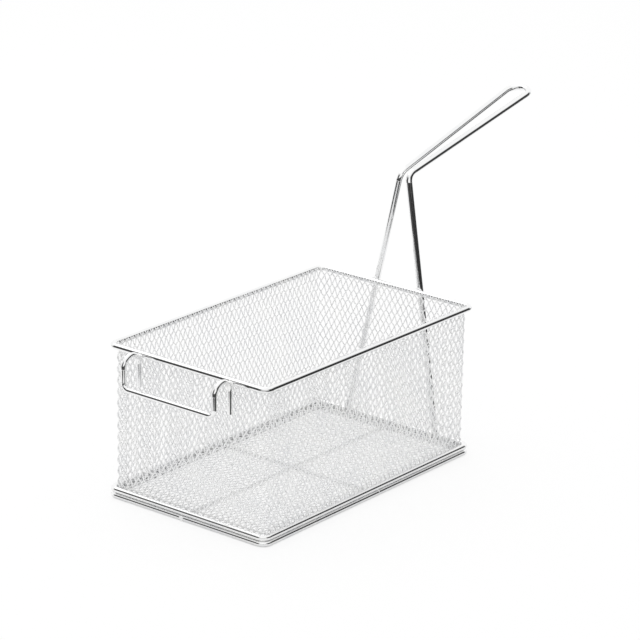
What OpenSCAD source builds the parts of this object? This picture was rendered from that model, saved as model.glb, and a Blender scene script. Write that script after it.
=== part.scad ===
// Deep fryer basket in bright steel wire.
// Origin at the middle of the base, on the surface it stands on. X is the width, Y the length
// with the handle towards +Y and the hanging hook towards -Y, and Z is up.

/* [Basket] */
// Length of the mesh basket, outside
mesh_l = 314; // [240:1:420]
// Width of the mesh basket, outside
mesh_w = 186.5; // [170:0.5:260]
// Height of the rim rod's centre line above the upper base rod's
frame_h = 146.5; // [110:0.5:200]

/* [Frame rods] */
// Diameter of the rim rod
rim_d = 6; // [4:0.5:8]
// Diameter of the two base rods
base_d = 6; // [5:0.5:8]
// Radius inside the corners of the rim and base rods
corner_r = 5; // [4:0.5:10]

/* [Floor bars] */
// Diameter of the two bars under the floor
bar_d = 4; // [3:0.5:5]
// How far the crossed bars are set into each other by their weld
bar_set = 1.2; // [0.6:0.1:1.5]
// Place of the lengthwise bar across the width
long_bar_x = -4; // [-30:1:30]
// Place of the crosswise bar along the length
cross_bar_y = 12; // [-40:1:40]

/* [Mesh] */
// Wanted width of one diamond opening, wire to wire
gap_w = 27; // [24:0.5:40]
// Height of one diamond opening, wire to wire
gap_h = 45; // [40:1:66]
// Width of one mesh wire
wire_w = 1.8; // [1.2:0.1:2.4]
// Thickness of one layer of mesh wires
wire_t = 1.4; // [1:0.1:2]
// How far the two layers of wires are pressed into each other
wire_press = 0.4; // [0.2:0.1:0.6]
// Width of the selvage along each edge of the mesh
selvage_w = 2; // [1.4:0.1:3]
// Height of the mesh's top edge above the rim's centre line
mesh_over_rim = 2.5; // [0:0.5:3]

/* [Handle] */
// Diameter of the handle rod
handle_d = 6.5; // [5:0.5:8]
// Distance between the handle's legs where they stand on the base, centre to centre
leg_spread = 112; // [90:1:130]
// Distance between the handle's legs at the bend, centre to centre
neck_w = 9.6; // [9:0.1:16]
// Height of the handle's bend above the rim
neck_h = 116; // [80:1:160]
// Radius of the handle's bend, on the centre line
neck_r = 10; // [7:0.5:14]
// Length of the grip from the bend to the middle of its round end
grip_l = 196; // [130:1:240]
// Radius of the grip's round end, on the centre line
grip_end_r = 12.5; // [9:0.5:18]
// Angle of the grip above the horizontal
grip_rise = 13.9; // [0:0.1:25]

/* [Hook] */
// Diameter of the hook wire
hook_d = 5; // [4:0.5:6]
// Distance between the hook's legs, centre to centre
hook_spread = 112; // [80:1:140]
// Radius of the hook's arches, on the centre line
arch_r = 11; // [9:0.5:16]
// Depth of the arches' springing below the rim's centre line
arch_drop = 8; // [7:0.5:10]
// Depth of the wall legs' lower ends below the rim's centre line
hook_leg_drop = 31; // [24:1:50]
// Depth of the hook's front bar below the rim's centre line
hook_bar_drop = 28; // [22:0.5:45]
// Radius of the bends between the outer legs and the front bar
hook_bend_r = 7; // [5:0.5:9]

/* [Hidden] */
$fn = 48;
// Room left where one rod lies against another or is shaped to it for the weld
weld_gap = 0.05;
// Room between the mesh and the rods round it
mesh_fit = 0.05;
// Room between a straight length and a bend, and how proud the joint that fills it stands
joint_gap = 0.2;
joint_proud = 0.02;
// How far the wires in a fold lie inside the walls' outer faces
fold_inset = 0.1;

// Heights, from the ground up
lower_z = base_d / 2;
upper_z = lower_z + base_d + weld_gap;
rim_z = upper_z + frame_h;
cross_bar_z = bar_d / 2;
long_bar_z = cross_bar_z + bar_d - bar_set;
mesh_t = 2 * wire_t - wire_press;
floor_z = long_bar_z + bar_d / 2;
sleeve_z = floor_z + mesh_t;
sleeve_h = rim_z + mesh_over_rim - sleeve_z;

// Centre lines of the rods that go round the mesh
rim_l = mesh_l + rim_d + 2 * mesh_fit;
rim_w = mesh_w + rim_d + 2 * mesh_fit;
base_l = mesh_l + base_d + 2 * mesh_fit;
base_w = mesh_w + base_d + 2 * mesh_fit;

// The mesh is folded across its corners, starting where the rods' round corners start
fold_cut = corner_r - mesh_fit;
fold_w = fold_cut * sqrt(2);
panel_l = mesh_l - 2 * fold_cut;
panel_w = mesh_w - 2 * fold_cut;

// The mesh's wires go round the girth in one unbroken pattern
girth = 2 * (panel_l + panel_w) + 4 * fold_w;
wire_count = round(girth / gap_w);
pitch = girth / wire_count;
wire_slant = pitch / gap_h;
wire_half = wire_w / 2 * sqrt(1 + wire_slant * wire_slant);

// The handle's legs stand on the upper base rod and lean out to pass behind the rim
leg_foot_y = mesh_l / 2 + mesh_fit + handle_d / 2;
leg_foot_z = upper_z + base_d / 4;
leg_pass_y = (rim_l + rim_d + handle_d) / 2 + weld_gap;
leg_lean = (leg_pass_y - leg_foot_y) / (rim_z - leg_foot_z);
neck_y = leg_pass_y + neck_h * leg_lean;
neck_z = rim_z + neck_h;

function dot(a, b) = a * b;
function unit(v) = v / norm(v);

// A straight length of rod along Z
module straight(d, length) {
    cylinder(d = d, h = length);
}

// A bent length of rod in the XY plane, round the origin from +X, with its two joints
module arc(d, r, turn) {
    joint_turn = joint_gap / r * 180 / PI;
    rotate([0, 0, joint_turn])
        rotate_extrude(angle = turn - 2 * joint_turn)
            translate([r, 0])
                circle(d = d);
    for (a = [0, turn])
        rotate([0, 0, a])
            translate([r, 0, 0])
                sphere(d = d + 2 * joint_proud);
}

// A bend that starts at the origin along Z and turns towards X
module bend(d, r, turn) {
    translate([r, 0, 0])
        rotate([90, 0, 0])
            rotate([0, 0, 180 - turn])
                arc(d, r, turn);
}

// Moves its children to the far end of such a bend
module after_bend(r, turn) {
    translate([r * (1 - cos(turn)), 0, r * sin(turn)])
        rotate([0, turn, 0])
            children();
}

// A rod bent into a level rectangle with round corners, sized on its centre line
module ring(length, width, d, r) {
    for (side = [0, 180])
        rotate([0, 0, side]) {
            translate([width / 2, r - length / 2, 0])
                rotate([-90, 0, 0])
                    straight(d, length - 2 * r);
            translate([r - width / 2, length / 2, 0])
                rotate([0, 90, 0])
                    straight(d, width - 2 * r);
            translate([width / 2 - r, length / 2 - r, 0])
                arc(d, r, 90);
            translate([r - width / 2, length / 2 - r, 0])
                rotate([0, 0, 90])
                    arc(d, r, 90);
        }
}

module rim_rod() {
    color("gainsboro")
        translate([0, 0, rim_z])
            ring(rim_l, rim_w, rim_d, corner_r + rim_d / 2);
}

// One base rod, or the room round it for a weld
module base_rod(z, room) {
    translate([0, 0, z])
        ring(base_l, base_w, base_d + 2 * room, corner_r + base_d / 2);
}

module upper_base_rod() {
    color("gainsboro")
        base_rod(upper_z, 0);
}

module lower_base_rod() {
    color("gainsboro")
        base_rod(lower_z, 0);
}

// The lengthwise bar, its ends shaped to both base rods
module long_floor_bar() {
    color("gainsboro")
        difference() {
            translate([long_bar_x, 0, long_bar_z])
                rotate([90, 0, 0])
                    cylinder(d = bar_d, h = base_l, center = true);
            base_rod(lower_z, weld_gap);
            base_rod(upper_z, weld_gap);
        }
}

// The crosswise bar, its ends shaped to the lower base rod and its middle to the lengthwise bar
module cross_floor_bar() {
    color("gainsboro")
        difference() {
            translate([0, cross_bar_y, cross_bar_z])
                rotate([0, 90, 0])
                    cylinder(d = bar_d, h = base_w, center = true);
            base_rod(lower_z, weld_gap);
            translate([long_bar_x, cross_bar_y, long_bar_z])
                rotate([90, 0, 0])
                    cylinder(d = bar_d + 2 * weld_gap, h = 2 * bar_d, center = true);
        }
}

// Slanted wires of one direction over a panel that starts at the place s0 along the girth
module slanted_wires(length, height, s0, way) {
    shift = way * height * wire_slant;
    first = floor((s0 - max(shift, 0) - wire_half) / pitch);
    last = ceil((s0 + length - min(shift, 0) + wire_half) / pitch);
    for (k = [first:last]) {
        x = k * pitch - s0;
        polygon([
            [x - wire_half, 0],
            [x + wire_half, 0],
            [x + wire_half + shift, height],
            [x - wire_half + shift, height]
        ]);
    }
}

// One layer of a wall panel's wires, flat, their ends hidden in the selvages
module panel_layer(length, height, s0, way) {
    intersection() {
        translate([0, selvage_w / 2])
            square([length, height - selvage_w]);
        slanted_wires(length, height, s0, way);
    }
}

// A wall panel standing on the XY plane, its outer face on XZ and its thickness towards +Y
module panel(length, height, s0) {
    rotate([90, 0, 0]) {
        translate([0, 0, -wire_t])
            linear_extrude(wire_t)
                panel_layer(length, height, s0, 1);
        translate([0, 0, -mesh_t])
            linear_extrude(wire_t)
                panel_layer(length, height, s0, -1);
    }
}

// The mesh's outline from above, its corners cut by the folds, drawn in by a margin
module mesh_outline(margin) {
    x = mesh_w / 2 - margin;
    y = mesh_l / 2 - margin;
    c = fold_cut - margin * (2 - sqrt(2));
    polygon([
        [-x, c - y], [c - x, -y], [x - c, -y], [x, c - y],
        [x, y - c], [x - c, y], [c - x, y], [-x, y - c]
    ]);
}

// A band that follows the outline, of a given width inwards
module outline_band(width) {
    difference() {
        mesh_outline(0);
        mesh_outline(width);
    }
}

// The folded band of mesh, panel by panel round its girth, between its two selvages
module mesh_sleeve() {
    color("silver")
        translate([0, 0, sleeve_z]) {
            for (z = [0, sleeve_h - selvage_w])
                translate([0, 0, z])
                    linear_extrude(selvage_w)
                        outline_band(mesh_t);
            for (i = [0, 1]) {
                s = i * girth / 2;
                rotate([0, 0, 180 * i]) {
                    translate([-panel_w / 2, -mesh_l / 2, 0])
                        panel(panel_w, sleeve_h, s);
                    translate([panel_w / 2, -mesh_l / 2, 0])
                        rotate([0, 0, 45])
                            translate([0, fold_inset, 0])
                                panel(fold_w, sleeve_h, s + panel_w);
                    translate([mesh_w / 2, -panel_l / 2, 0])
                        rotate([0, 0, 90])
                            panel(panel_l, sleeve_h, s + panel_w + fold_w);
                    translate([mesh_w / 2, panel_l / 2, 0])
                        rotate([0, 0, 135])
                            translate([0, fold_inset, 0])
                                panel(fold_w, sleeve_h, s + panel_w + fold_w + panel_l);
                }
            }
        }
}

// One layer of the floor's mesh with its selvage
module floor_layer(way) {
    intersection() {
        mesh_outline(0);
        translate([-mesh_w / 2, -mesh_l / 2])
            slanted_wires(mesh_w, mesh_l, (mesh_w - pitch) / 2, way);
    }
    outline_band(selvage_w);
}

module mesh_floor() {
    color("silver")
        translate([0, 0, floor_z]) {
            linear_extrude(wire_t)
                floor_layer(1);
            translate([0, 0, mesh_t - wire_t])
                linear_extrude(wire_t)
                    floor_layer(-1);
        }
}

// Half of the handle from its neck, in the grip's own plane: X across and Y along the grip
module half_handle(splay) {
    half_neck = neck_w / 2;
    grip_run = grip_l * cos(splay) - half_neck * sin(splay);
    // From the neck down to the leg's foot, as the basket stands
    leg = [(leg_spread - neck_w) / 2, leg_foot_y - neck_y, leg_foot_z - neck_z];
    // The same, seen from the grip's plane, and the way back along the grip to the neck
    down = unit([
        leg[0],
        leg[1] * cos(grip_rise) + leg[2] * sin(grip_rise),
        leg[2] * cos(grip_rise) - leg[1] * sin(grip_rise)
    ]);
    back = [-sin(splay), -cos(splay), 0];
    turn = acos(dot(back, down));
    trim = neck_r * tan(turn / 2);
    inward = unit(down - dot(down, back) * back);
    roll = atan2(dot(inward, cross(back, [0, 0, -1])), -inward[2]);
    translate([0, grip_l, 0])
        rotate([0, 0, -splay])
            translate([grip_end_r, 0, 0])
                rotate([90, 0, 0])
                    rotate([0, 0, -90]) {
                        straight(handle_d, grip_run - trim);
                        translate([0, 0, grip_run - trim])
                            rotate([0, 0, roll]) {
                                bend(handle_d, neck_r, turn);
                                after_bend(neck_r, turn)
                                    straight(handle_d, norm(leg) - trim);
                            }
                    }
}

// The grip's loop and two legs, bent from one rod
module handle() {
    // How far each side of the grip turns outwards, to meet its round end without a corner
    splay = asin(grip_end_r / norm([grip_l, neck_w / 2])) - atan(neck_w / 2 / grip_l);
    color("gainsboro")
        difference() {
            translate([0, neck_y, neck_z])
                rotate([grip_rise, 0, 0]) {
                    for (side = [0, 1])
                        mirror([side, 0, 0])
                            half_handle(splay);
                    translate([0, grip_l, 0])
                        rotate([0, 0, -splay])
                            arc(handle_d, grip_end_r, 180 + 2 * splay);
                }
            base_rod(upper_z, weld_gap);
        }
}

// One side of the hook, from the wall leg's foot to the bend into the front bar
module hook_side() {
    rise = hook_leg_drop - arch_drop;
    fall = hook_bar_drop - arch_drop - hook_bend_r;
    straight(hook_d, rise);
    translate([0, 0, rise]) {
        rotate([0, 0, -90])
            bend(hook_d, arch_r, 180);
        translate([0, -2 * arch_r, 0])
            rotate([180, 0, 0]) {
                straight(hook_d, fall);
                translate([0, 0, fall])
                    bend(hook_d, hook_bend_r, 90);
            }
    }
}

// The hanging hook, bent from one wire and lying against the outside of the rim
module hanging_hook() {
    // The arches touch the rim from outside, which sets how far out the wall legs stand
    arch_reach = arch_r + (rim_d + hook_d) / 2 + weld_gap;
    wall_y = arch_r - rim_l / 2 - sqrt(arch_reach * arch_reach - arch_drop * arch_drop);
    bar_l = hook_spread - 2 * hook_bend_r;
    color("gainsboro") {
        for (side = [0, 1])
            mirror([side, 0, 0])
                translate([-hook_spread / 2, wall_y, rim_z - hook_leg_drop])
                    hook_side();
        translate([-bar_l / 2, wall_y - 2 * arch_r, rim_z - hook_bar_drop])
            rotate([0, 90, 0])
                straight(hook_d, bar_l);
    }
}

rim_rod();
upper_base_rod();
lower_base_rod();
long_floor_bar();
cross_floor_bar();
mesh_sleeve();
mesh_floor();
handle();
hanging_hook();
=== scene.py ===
"""The deep fryer basket's looks: woven wire mesh, bright rods, weld beads, a white studio and the camera."""
import math
import random

import bmesh
import bpy
from mathutils import Matrix, Vector


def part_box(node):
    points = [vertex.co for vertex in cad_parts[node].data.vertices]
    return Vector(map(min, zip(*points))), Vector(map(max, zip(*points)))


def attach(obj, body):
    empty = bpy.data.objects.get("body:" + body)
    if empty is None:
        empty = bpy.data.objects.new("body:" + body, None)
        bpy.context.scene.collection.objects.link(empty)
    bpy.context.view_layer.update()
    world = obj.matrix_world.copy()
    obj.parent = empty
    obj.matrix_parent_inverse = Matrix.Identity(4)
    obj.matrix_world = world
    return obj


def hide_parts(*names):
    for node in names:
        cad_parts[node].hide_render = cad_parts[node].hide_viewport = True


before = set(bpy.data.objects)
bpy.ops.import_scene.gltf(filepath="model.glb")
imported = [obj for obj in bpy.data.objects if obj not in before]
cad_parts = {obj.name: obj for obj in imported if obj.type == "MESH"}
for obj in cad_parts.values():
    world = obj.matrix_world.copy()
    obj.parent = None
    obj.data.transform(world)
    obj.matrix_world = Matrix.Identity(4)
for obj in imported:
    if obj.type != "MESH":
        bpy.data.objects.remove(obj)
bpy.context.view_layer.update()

MM = 0.001

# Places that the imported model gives, in metres
sleeve_low, sleeve_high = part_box("mesh_sleeve")
floor_low, floor_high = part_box("mesh_floor")
rim_low, rim_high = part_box("rim_rod")
upper_low, upper_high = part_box("upper_base_rod")
lower_low, lower_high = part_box("lower_base_rod")

# The woven mesh
CELL_W = 7.0 * MM         # wanted width of one diamond opening, wire to wire
CELL_H = 11.6 * MM        # its height
WIRE_D = 1.2 * MM
WIRE_SIDES = 8
STEPS_PER_CROSSING = 4
CORNER_R = 3.75 * MM      # radius of the mesh's corners at the middle of its thickness
TOP_INSET = WIRE_D / 8    # how far the wires' ends stay under the top of the sleeve
SMOOTH_ANGLE = 50         # degrees between faces from which an edge shows
PARALLEL = 1e-9           # speed under which a wire runs along an edge of the floor

# Camera, fitted to the photograph's rim, base, handle and hook
CAMERA_AZIMUTH = 38.31    # degrees, from -Y towards +X
CAMERA_ELEVATION = 19.01
CAMERA_ROLL = 1.09
CAMERA_LENS = 171.6       # mm
CAMERA_SENSOR = 36        # mm
CAMERA_DISTANCE = 2985.4 * MM
CAMERA_AIM_HEIGHT = 82.3 * MM
CAMERA_RIGHT = 25.75 * MM
CAMERA_UP = 74.68 * MM
CAMERA_CLIP = 50          # metres


# Node trees

class Graph:
    """Fills one node tree."""

    def __init__(self, tree):
        tree.nodes.clear()
        self.new = tree.nodes.new
        self.link = tree.links.new

    def soft_step(self, value, start, end, low=0, high=1):
        """low up to start and high from end, with a smooth change between them."""
        step = self.new("ShaderNodeMapRange")
        step.interpolation_type = "SMOOTHSTEP"
        step.inputs["From Min"].default_value = start
        step.inputs["From Max"].default_value = end
        step.inputs["To Min"].default_value = low
        step.inputs["To Max"].default_value = high
        self.link(value, step.inputs["Value"])
        return step.outputs["Result"]

    def combined(self, operation, first, second):
        node = self.new("ShaderNodeMath")
        node.operation = operation
        self.link(first, node.inputs[0])
        self.link(second, node.inputs[1])
        return node.outputs["Value"]

    def along(self, vector, direction):
        """How far a vector reaches along a direction."""
        dot = self.new("ShaderNodeVectorMath")
        dot.operation = "DOT_PRODUCT"
        dot.inputs[1].default_value = direction
        self.link(vector, dot.inputs[0])
        return dot.outputs["Value"]

    def noise(self, place, scale, detail):
        node = self.new("ShaderNodeTexNoise")
        node.inputs["Scale"].default_value = scale
        node.inputs["Detail"].default_value = detail
        self.link(place, node.inputs["Vector"])
        return node.outputs["Fac"]

    def glow(self, kind, grey):
        """A plain Emission or Background node of one grey."""
        node = self.new("ShaderNode" + kind)
        node.inputs["Color"].default_value = (grey, grey, grey, 1)
        node.inputs["Strength"].default_value = 1.0
        return node.outputs[kind]

    def mixed(self, share, first, second):
        """The first shader, with a share of the second."""
        node = self.new("ShaderNodeMixShader")
        self.link(share, node.inputs["Fac"])
        self.link(first, node.inputs[1])
        self.link(second, node.inputs[2])
        return node.outputs["Shader"]


# Camera

def camera_axes():
    """The camera's back, right and up directions, along the basket's axes."""
    azimuth = math.radians(CAMERA_AZIMUTH)
    elevation = math.radians(CAMERA_ELEVATION)
    roll = math.radians(CAMERA_ROLL)
    back = Vector((
        math.sin(azimuth) * math.cos(elevation),
        -math.cos(azimuth) * math.cos(elevation),
        math.sin(elevation),
    ))
    level_right = Vector((math.cos(azimuth), math.sin(azimuth), 0))
    level_up = back.cross(level_right)
    right = math.cos(roll) * level_right + math.sin(roll) * level_up
    up = math.cos(roll) * level_up - math.sin(roll) * level_right
    return back, right, up


def make_camera():
    back, right, up = camera_axes()
    data = bpy.data.cameras.new("camera")
    data.lens = CAMERA_LENS
    data.sensor_width = CAMERA_SENSOR
    data.clip_end = CAMERA_CLIP
    camera = bpy.data.objects.new("camera", data)
    bpy.context.scene.collection.objects.link(camera)
    place = Vector((0, 0, CAMERA_AIM_HEIGHT)) + back * CAMERA_DISTANCE
    place += right * CAMERA_RIGHT + up * CAMERA_UP
    turn = Matrix((right, up, back)).transposed().to_4x4()
    camera.matrix_world = Matrix.Translation(place) @ turn
    bpy.context.scene.camera = camera


# Finishes

CLOUD_SCALE = 38.0        # slow clouding of the plate
CLOUD_DETAIL = 3.0
CLOUD_START = 0.3         # noise values between which clouded plate turns clear
CLOUD_END = 0.7
CLOUDED = (0.94, 0.945, 0.955)    # shares of the full brightness, in red, green and blue
CLEAR = (1, 1, 0.995)
GRAIN_DETAIL = 2.0
SMOOTHEST = 0.7           # shares of the mean roughness, where the grain is low and high
ROUGHEST = 1.4
BUMP_STRENGTH = 0.25


def chrome(name, bright, rough, grain_scale, bump_height, metallic=1.0):
    """Bright nickel or chrome plate over drawn steel: slow clouding, fine pits and a little satin."""
    material = bpy.data.materials.new(name)
    material.use_nodes = True
    graph = Graph(material.node_tree)
    shader = graph.new("ShaderNodeBsdfPrincipled")
    shader.inputs["Metallic"].default_value = metallic
    output = graph.new("ShaderNodeOutputMaterial")
    graph.link(shader.outputs["BSDF"], output.inputs["Surface"])
    place = graph.new("ShaderNodeTexCoord").outputs["Object"]

    tone = graph.new("ShaderNodeValToRGB")
    clouded, clear = tone.color_ramp.elements
    clouded.position = CLOUD_START
    clouded.color = [bright * share for share in CLOUDED] + [1]
    clear.position = CLOUD_END
    clear.color = [bright * share for share in CLEAR] + [1]
    graph.link(graph.noise(place, CLOUD_SCALE, CLOUD_DETAIL), tone.inputs["Fac"])
    graph.link(tone.outputs["Color"], shader.inputs["Base Color"])

    grain = graph.noise(place, grain_scale, GRAIN_DETAIL)
    satin = graph.new("ShaderNodeMapRange")
    satin.inputs["To Min"].default_value = rough * SMOOTHEST
    satin.inputs["To Max"].default_value = rough * ROUGHEST
    graph.link(grain, satin.inputs["Value"])
    graph.link(satin.outputs["Result"], shader.inputs["Roughness"])

    bump = graph.new("ShaderNodeBump")
    bump.inputs["Strength"].default_value = BUMP_STRENGTH
    bump.inputs["Distance"].default_value = bump_height
    graph.link(grain, bump.inputs["Height"])
    graph.link(bump.outputs["Normal"], shader.inputs["Normal"])
    return material


def dress(name, material):
    """Gives a CAD node its finish."""
    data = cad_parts[name].data
    data.materials.clear()
    data.materials.append(material)


# Woven mesh

class MeshMaker:
    """Gathers tubes and beads in plain lists and turns them into one object."""

    def __init__(self):
        self.points = []
        self.faces = []

    def tube(self, path, outward, radius, sides):
        """A closed tube along path. outward, a normal for each point, keeps its rings from twisting."""
        start = len(self.points)
        last = len(path) - 1
        ring_angles = [2 * math.pi * i / sides for i in range(sides)]
        for k, point in enumerate(path):
            along = (path[min(k + 1, last)] - path[max(k - 1, 0)]).normalized()
            side = along.cross(outward[k]).normalized()
            out = side.cross(along)
            for angle in ring_angles:
                self.points.append(point + radius * (math.cos(angle) * out + math.sin(angle) * side))
        for k in range(last):
            a = start + k * sides
            b = a + sides
            for i in range(sides):
                j = (i + 1) % sides
                self.faces.append((a + i, a + j, b + j, b + i))
        self.faces.append(tuple(start + i for i in reversed(range(sides))))
        self.faces.append(tuple(start + last * sides + i for i in range(sides)))

    def build(self, name, material):
        data = bpy.data.meshes.new(name)
        data.from_pydata([tuple(p) for p in self.points], [], self.faces)
        data.update()
        data.materials.append(material)
        piece = bpy.data.objects.new(name, data)
        bpy.context.scene.collection.objects.link(piece)
        flip_if_inside_out(data)
        data.shade_smooth()
        data.set_sharp_from_angle(angle=math.radians(SMOOTH_ANGLE))
        return piece


def flip_if_inside_out(data):
    work = bmesh.new()
    work.from_mesh(data)
    bmesh.ops.recalc_face_normals(work, faces=work.faces)
    work.to_mesh(data)
    work.free()


class SleevePath:
    """The middle of the sleeve's thickness seen from above: four straight sides with round corners."""

    def __init__(self):
        half_x = sleeve_high.x - WIRE_D
        half_y = sleeve_high.y - WIRE_D
        r = CORNER_R
        side_x = 2 * (half_x - r)
        side_y = 2 * (half_y - r)
        bend = math.pi / 2 * r
        # A straight has its start and heading, a bend its centre and the angle of its first normal
        self.stretches = [
            ("straight", side_x, Vector((-half_x + r, -half_y)), 0),
            ("bend", bend, Vector((half_x - r, -half_y + r)), -90),
            ("straight", side_y, Vector((half_x, -half_y + r)), 90),
            ("bend", bend, Vector((half_x - r, half_y - r)), 0),
            ("straight", side_x, Vector((half_x - r, half_y)), 180),
            ("bend", bend, Vector((-half_x + r, half_y - r)), 90),
            ("straight", side_y, Vector((-half_x, half_y - r)), 270),
            ("bend", bend, Vector((-half_x + r, -half_y + r)), 180),
        ]
        self.length = sum(stretch[1] for stretch in self.stretches)

    def at(self, s):
        """Place and outward normal, in plan, at the distance s round the path."""
        s = s % self.length
        for kind, length, origin, angle in self.stretches:
            if s <= length:
                break
            s -= length
        if kind == "straight":
            a = math.radians(angle)
            return (
                origin + s * Vector((math.cos(a), math.sin(a))),
                Vector((math.sin(a), -math.cos(a))),
            )
        a = math.radians(angle) + s / CORNER_R
        normal = Vector((math.cos(a), math.sin(a)))
        return origin + CORNER_R * normal, normal


def weave(crossing, way):
    """How far a wire stands out of the mesh's middle surface: over one crossing and under the next."""
    return way * WIRE_D / 2 * math.cos(math.pi * crossing)


def wall_facing(normal):
    """The name of the wall whose side a normal points to most."""
    sides = {"front": -normal.y, "back": normal.y, "right": normal.x, "left": -normal.x}
    return max(sides, key=sides.get)


def woven_walls(material):
    """Both families of slanting wires round the sleeve, each in the wall where its middle lies."""
    path = SleevePath()
    cells = 2 * round(path.length / CELL_W / 2)
    cell_w = path.length / cells
    low = sleeve_low.z + WIRE_D / 2
    high = sleeve_high.z - TOP_INSET
    rows = (high - low) / CELL_H
    steps = math.ceil(2 * rows * STEPS_PER_CROSSING)
    makers = {wall: MeshMaker() for wall in ("front", "right", "back", "left")}
    for way in (1, -1):
        for k in range(cells):
            points = []
            normals = []
            for i in range(steps + 1):
                row = rows * i / steps
                s = (k + way * row) * cell_w
                # The other family's wires lie at whole numbers of this
                crossing = k + 2 * way * row
                plan, normal = path.at(s)
                out = weave(k + crossing, way)
                points.append(Vector((
                    plan.x + normal.x * out,
                    plan.y + normal.y * out,
                    low + row * CELL_H,
                )))
                normals.append(Vector((normal.x, normal.y, 0)))
            wall = wall_facing(normals[len(normals) // 2])
            makers[wall].tube(points, normals, WIRE_D / 2, WIRE_SIDES)
    for wall, maker in makers.items():
        piece = maker.build("mesh_wall_" + wall, material)
        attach(piece, "root")
        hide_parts("mesh_sleeve")


def clip_to_outline(start, direction, outline):
    """The stretch of an endless line that lies inside a convex outline, as two distances from start."""
    enter = -math.inf
    leave = math.inf
    for i, corner in enumerate(outline):
        edge = outline[(i + 1) % len(outline)] - corner
        inward = Vector((-edge.y, edge.x)).normalized()
        depth = (start - corner).dot(inward)
        speed = direction.dot(inward)
        if abs(speed) < PARALLEL:
            if depth < 0:
                return None
            continue
        t = -depth / speed
        if speed > 0:
            enter = max(enter, t)
        else:
            leave = min(leave, t)
    if leave - enter < 2 * WIRE_D:
        return None
    return enter, leave


def woven_floor(material):
    """The floor's sheet of the same mesh, its diamonds lengthwise, cut to the sleeve's outline."""
    middle_z = (floor_low.z + floor_high.z) / 2
    x = floor_high.x - WIRE_D / 2
    y = floor_high.y - WIRE_D / 2
    # Slanted corners keep the floor's wires inside the wall's round corners
    cut = CORNER_R * (2 - math.sqrt(2)) + WIRE_D / 2
    outline = [Vector(p) for p in (
        (-x, cut - y), (cut - x, -y), (x - cut, -y), (x, cut - y),
        (x, y - cut), (x - cut, y), (cut - x, y), (-x, y - cut),
    )]
    up = Vector((0, 0, 1))
    reach = math.ceil(x / CELL_W + y / CELL_H) + 1
    maker = MeshMaker()
    for way in (1, -1):
        step = Vector((way * CELL_W, CELL_H))
        direction = step.normalized()
        for k in range(-reach, reach + 1):
            start = Vector((k * CELL_W, 0))
            span = clip_to_outline(start, direction, outline)
            if span is None:
                continue
            first, last = (t / step.length for t in span)
            steps = math.ceil(2 * (last - first) * STEPS_PER_CROSSING)
            points = []
            for i in range(steps + 1):
                row = first + (last - first) * i / steps
                crossing = k + 2 * way * row
                plan = start + step * row
                points.append(Vector((plan.x, plan.y, middle_z + weave(k + crossing, way))))
            maker.tube(points, [up] * len(points), WIRE_D / 2, WIRE_SIDES)
    piece = maker.build("mesh_floor_weave", material)
    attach(piece, "root")
    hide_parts("mesh_floor")


# Weld beads

LEG_SPREAD = 112 * MM         # between the handle's legs where they stand on the base
LEG_SPREAD_AT_RIM = 55.2 * MM
HOOK_SPREAD = 112 * MM
LONG_BAR_X = -4 * MM
CROSS_BAR_Y = 12 * MM
BEAD_RINGS = 18
BEAD_SIDES = 16
BEAD_TIP = 0.06           # share of its width at a bead's ends
BEAD_LEAN = 0.12          # how much wider one end may be, as a share
RIPPLE_DEPTH = 0.07       # share of its width
RIPPLE_TURN = 9           # radians from its middle to its end
LUMP_DEPTH = 0.035        # share of its width
SEEDS_PER_PIECE = 10

# Half lengths of the beads along X, Y and Z, in millimetres
HANDLE_RIM_BEAD = (4.6, 1.7, 4.0)
HANDLE_FOOT_BEAD = (4.6, 3.6, 1.5)
HOOK_BEAD = (3.6, 1.6, 2.4)
LONG_BAR_BEAD = (3.6, 2.3, 2.75)
CROSS_BAR_BEAD = (1.85, 3.6, 2.75)

# Where the beads' middles lie
FOOT_BEAD_RISE = 0.2 * MM         # above the upper base rod's top
BAR_BEAD_RISE = 0.2 * MM          # above the lower base rod's middle
# Shares of the rod's radius, from its middle
HOOK_BEAD_OUT = 0.92
HOOK_BEAD_DROP = 0.3
LONG_BAR_BEAD_OUT = 0.43
CROSS_BAR_BEAD_OUT = 0.3


def bead(maker, middle, half, seed):
    """A lumpy bead with ripples along its longest half length, flattened to the half lengths given."""
    chance = random.Random(seed)
    long_axis = max(range(3), key=lambda i: half[i])
    across = [i for i in range(3) if i != long_axis]
    phase = chance.uniform(0, 2 * math.pi)
    lean = chance.uniform(-BEAD_LEAN, BEAD_LEAN)
    start = len(maker.points)
    for k in range(BEAD_RINGS + 1):
        t = -1 + 2 * k / BEAD_RINGS
        round_end = math.sqrt(max(0.0, 1 - t * t)) if 0 < k < BEAD_RINGS else BEAD_TIP
        ripple = 1 + RIPPLE_DEPTH * math.cos(RIPPLE_TURN * t + phase)
        for i in range(BEAD_SIDES):
            angle = 2 * math.pi * i / BEAD_SIDES
            lump = ripple * (1 + chance.uniform(-LUMP_DEPTH, LUMP_DEPTH)) * round_end
            point = [0, 0, 0]
            point[long_axis] = half[long_axis] * t
            point[across[0]] = half[across[0]] * lump * math.cos(angle) * (1 + lean * t)
            point[across[1]] = half[across[1]] * lump * math.sin(angle)
            maker.points.append(middle + Vector(point))
    for k in range(BEAD_RINGS):
        a = start + k * BEAD_SIDES
        b = a + BEAD_SIDES
        for i in range(BEAD_SIDES):
            j = (i + 1) % BEAD_SIDES
            maker.faces.append((a + i, a + j, b + j, b + i))
    maker.faces.append(tuple(start + i for i in reversed(range(BEAD_SIDES))))
    maker.faces.append(tuple(start + BEAD_RINGS * BEAD_SIDES + i for i in range(BEAD_SIDES)))


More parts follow.
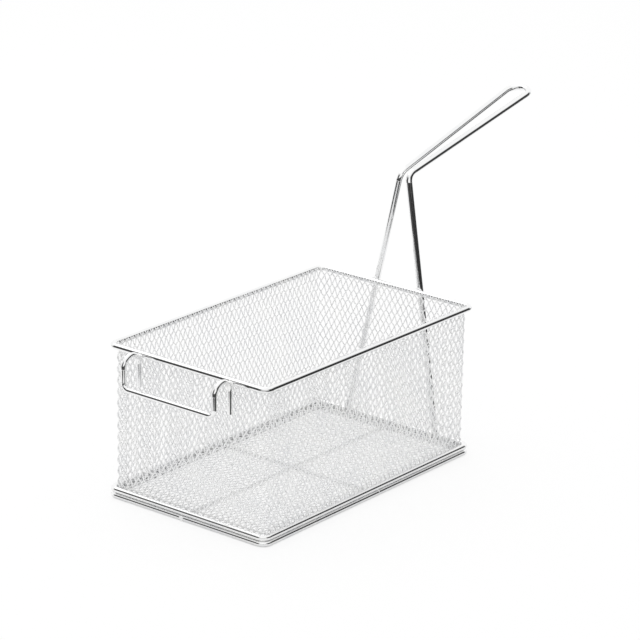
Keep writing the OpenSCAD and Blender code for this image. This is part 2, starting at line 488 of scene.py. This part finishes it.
def weld_beads(material):
    """The beads where the handle, the hook and the floor bars are joined."""
    rim_r = (rim_high.z - rim_low.z) / 2
    rim_z = (rim_high.z + rim_low.z) / 2
    rim_y = rim_high.y - rim_r
    base_r = (upper_high.z - upper_low.z) / 2
    base_y = upper_high.y - base_r
    base_x = upper_high.x - base_r
    hook_y = -rim_y - rim_r * HOOK_BEAD_OUT
    hook_z = rim_z - rim_r * HOOK_BEAD_DROP
    bar_z = (lower_low.z + lower_high.z) / 2 + BAR_BEAD_RISE
    long_bar_y = base_y + base_r * LONG_BAR_BEAD_OUT
    cross_bar_x = base_x + base_r * CROSS_BAR_BEAD_OUT
    groups = {"handle_welds": [], "hook_welds": [], "base_welds": []}
    for side in (-1, 1):
        groups["handle_welds"] += [
            ((side * LEG_SPREAD_AT_RIM / 2, rim_y + rim_r, rim_z), HANDLE_RIM_BEAD),
            ((side * LEG_SPREAD / 2, base_y, upper_high.z + FOOT_BEAD_RISE), HANDLE_FOOT_BEAD),
        ]
        groups["hook_welds"].append(((side * HOOK_SPREAD / 2, hook_y, hook_z), HOOK_BEAD))
        groups["base_welds"] += [
            ((LONG_BAR_X, side * long_bar_y, bar_z), LONG_BAR_BEAD),
            ((side * cross_bar_x, CROSS_BAR_Y, bar_z), CROSS_BAR_BEAD),
        ]
    for number, (name, beads) in enumerate(groups.items()):
        maker = MeshMaker()
        for k, (middle, half) in enumerate(beads):
            bead(maker, Vector(middle), [h * MM for h in half], SEEDS_PER_PIECE * number + k)
        piece = maker.build(name, material)
        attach(piece, "root")


# Studio

# The white table, in metres from the basket's middle
TABLE_FRONT = 0.53        # how far reflections see it reach to the front
TABLE_RIGHT = 0.29        # how far they see it reach to the right
TABLE_EDGE = 0.04         # half the width of its soft edges
TABLE_SIZE = 6.0          # how far the camera sees it reach each way
TABLE_DROP = 0.2 * MM     # how far it lies below the basket
TABLE_PAINT = 0.93
TABLE_GLOW = 0.84         # share of pure white in what the camera sees of it
PAST_TABLE = 0.08         # grey that reflections see past its edges

# The room that the rods reflect, in degrees above the level or away from a direction
ROOM_TOP = 24             # height up to which it is dark
CEILING_FOOT = 46         # height from which the ceiling is white
ROOM_TURN = 10            # from the camera's side to the middle of the dark side
ROOM_EDGE = 95            # from that middle to where the dark starts to fade
BACKDROP_EDGE = 115       # from that middle to where the backdrop is white
LIT_STAND_CORE = 36       # from the camera's side to where the lit stand starts to fade
LIT_STAND_EDGE = 48       # from the camera's side to where it ends
LIT_STAND_FOOT = 2.5      # height at which it starts
LIT_STAND_FULL = 8.5      # height from which it is white
ROOM_WHITE = 1.06
ROOM_DARK = 0.03

# The softbox, in metres and watts
SOFTBOX_PLACE = (-1.0, 0.2, 1.7)
SOFTBOX_WIDTH = 1.6
SOFTBOX_DEPTH = 1.2
SOFTBOX_POWER = 6


def level_direction(degrees):
    """A level direction, from -Y towards +X."""
    azimuth = math.radians(degrees)
    return math.sin(azimuth), -math.cos(azimuth), 0


def cosine(degrees):
    return math.cos(math.radians(degrees))


def sine(degrees):
    return math.sin(math.radians(degrees))


def darkness_by_height(graph, upward):
    """1 in the room, 0 on the ceiling."""
    share = graph.new("ShaderNodeMapRange")
    share.inputs["From Min"].default_value = -1
    share.inputs["From Max"].default_value = 1
    graph.link(upward, share.inputs["Value"])
    height = graph.new("ShaderNodeValToRGB")
    ramp = height.color_ramp
    ramp.interpolation = "EASE"
    room, ceiling = ramp.elements
    room.position = (sine(ROOM_TOP) + 1) / 2
    room.color = (1, 1, 1, 1)
    ceiling.position = (sine(CEILING_FOOT) + 1) / 2
    ceiling.color = (0, 0, 0, 1)
    graph.link(share.outputs["Result"], height.inputs["Fac"])
    return height.outputs["Color"]


def make_world():
    world = bpy.data.worlds.new("studio")
    bpy.context.scene.world = world
    world.use_nodes = True
    graph = Graph(world.node_tree)
    gaze = graph.new("ShaderNodeTexCoord").outputs["Generated"]
    split = graph.new("ShaderNodeSeparateXYZ")
    graph.link(gaze, split.inputs["Vector"])
    upward = split.outputs["Z"]

    # The dark side of the room lies round the camera, the white backdrop behind the basket
    facing = graph.along(gaze, level_direction(CAMERA_AZIMUTH + ROOM_TURN))
    dark_side = graph.soft_step(facing, cosine(BACKDROP_EDGE), cosine(ROOM_EDGE))

    # The lit stand beside the camera whitens corners and bends that face it
    toward = graph.along(gaze, level_direction(CAMERA_AZIMUTH))
    beside_stand = graph.soft_step(toward, cosine(LIT_STAND_EDGE), cosine(LIT_STAND_CORE), 1, 0)
    below_stand = graph.soft_step(upward, sine(LIT_STAND_FOOT), sine(LIT_STAND_FULL), 1, 0)
    off_stand = graph.combined("MAXIMUM", beside_stand, below_stand)

    dark_room = graph.combined("MULTIPLY", dark_side, off_stand)
    darkness = graph.combined("MULTIPLY", darkness_by_height(graph, upward), dark_room)
    paint = graph.new("ShaderNodeMix")
    paint.data_type = "RGBA"
    paint.inputs["A"].default_value = (ROOM_WHITE, ROOM_WHITE, ROOM_WHITE, 1)
    paint.inputs["B"].default_value = (ROOM_DARK, ROOM_DARK, ROOM_DARK, 1)
    graph.link(darkness, paint.inputs["Factor"])
    room = graph.new("ShaderNodeBackground")
    room.inputs["Strength"].default_value = 1.0
    graph.link(paint.outputs["Result"], room.inputs["Color"])

    # Only reflections see the room: the camera and the lighting see plain white
    reflected = graph.new("ShaderNodeLightPath").outputs["Is Glossy Ray"]
    seen = graph.mixed(reflected, graph.glow("Background", 1), room.outputs["Background"])
    output = graph.new("ShaderNodeOutputWorld")
    graph.link(seen, output.inputs["Surface"])


def table_material():
    """White to the camera, and cut off at its front and right edges for reflections."""
    material = bpy.data.materials.new("white_table")
    material.use_nodes = True
    graph = Graph(material.node_tree)
    rays = graph.new("ShaderNodeLightPath")
    matt = graph.new("ShaderNodeBsdfDiffuse")
    matt.inputs["Color"].default_value = (TABLE_PAINT, TABLE_PAINT, TABLE_PAINT, 1)
    share = graph.new("ShaderNodeMath")
    share.operation = "MULTIPLY"
    share.inputs[1].default_value = TABLE_GLOW
    graph.link(rays.outputs["Is Camera Ray"], share.inputs[0])
    white = graph.mixed(share.outputs["Value"], matt.outputs["BSDF"], graph.glow("Emission", 1))

    place = graph.new("ShaderNodeTexCoord").outputs["Object"]
    past_front, past_right = [
        graph.soft_step(graph.along(place, direction), reach - TABLE_EDGE, reach + TABLE_EDGE)
        for direction, reach in (((0, -1, 0), TABLE_FRONT), ((1, 0, 0), TABLE_RIGHT))
    ]
    beyond = graph.combined("MAXIMUM", past_front, past_right)
    hidden = graph.combined("MULTIPLY", beyond, rays.outputs["Is Glossy Ray"])
    output = graph.new("ShaderNodeOutputMaterial")
    seen = graph.mixed(hidden, white, graph.glow("Emission", PAST_TABLE))
    graph.link(seen, output.inputs["Surface"])
    return material


def make_floor():
    data = bpy.data.meshes.new("floor")
    corners = ((-1, -1), (1, -1), (1, 1), (-1, 1))
    points = [(x * TABLE_SIZE, y * TABLE_SIZE, -TABLE_DROP) for x, y in corners]
    data.from_pydata(points, [], [(0, 1, 2, 3)])
    data.materials.append(table_material())
    floor = bpy.data.objects.new("floor", data)
    bpy.context.scene.collection.objects.link(floor)


def make_lamps():
    data = bpy.data.lights.new("softbox", "AREA")
    data.shape = "RECTANGLE"
    data.size = SOFTBOX_WIDTH
    data.size_y = SOFTBOX_DEPTH
    data.energy = SOFTBOX_POWER
    lamp = bpy.data.objects.new("softbox", data)
    bpy.context.scene.collection.objects.link(lamp)
    place = Vector(SOFTBOX_PLACE)
    turn = place.to_track_quat("Z", "Y").to_matrix().to_4x4()
    lamp.matrix_world = Matrix.Translation(place) @ turn


bpy.context.scene.view_settings.view_transform = "Standard"
make_camera()
make_world()
make_floor()
make_lamps()

FINE_PITS = 0.02 * MM     # depth of the plate's pits
WELD_PITS = 0.12 * MM

rod_chrome = chrome(
    "rod_chrome", bright=0.9, rough=0.06, grain_scale=900, bump_height=FINE_PITS)
wire_chrome = chrome(
    "wire_chrome", bright=0.95, rough=0.36, grain_scale=1500, bump_height=FINE_PITS, metallic=0.35)
bar_chrome = chrome(
    "bar_chrome", bright=0.93, rough=0.3, grain_scale=900, bump_height=FINE_PITS, metallic=0.4)
weld_metal = chrome(
    "weld_metal", bright=0.94, rough=0.34, grain_scale=2600, bump_height=WELD_PITS, metallic=0.35)
for name in ("rim_rod", "upper_base_rod", "lower_base_rod", "handle", "hanging_hook"):
    dress(name, rod_chrome)
for name in ("long_floor_bar", "cross_floor_bar"):
    dress(name, bar_chrome)

woven_walls(wire_chrome)
woven_floor(wire_chrome)
weld_beads(weld_metal)
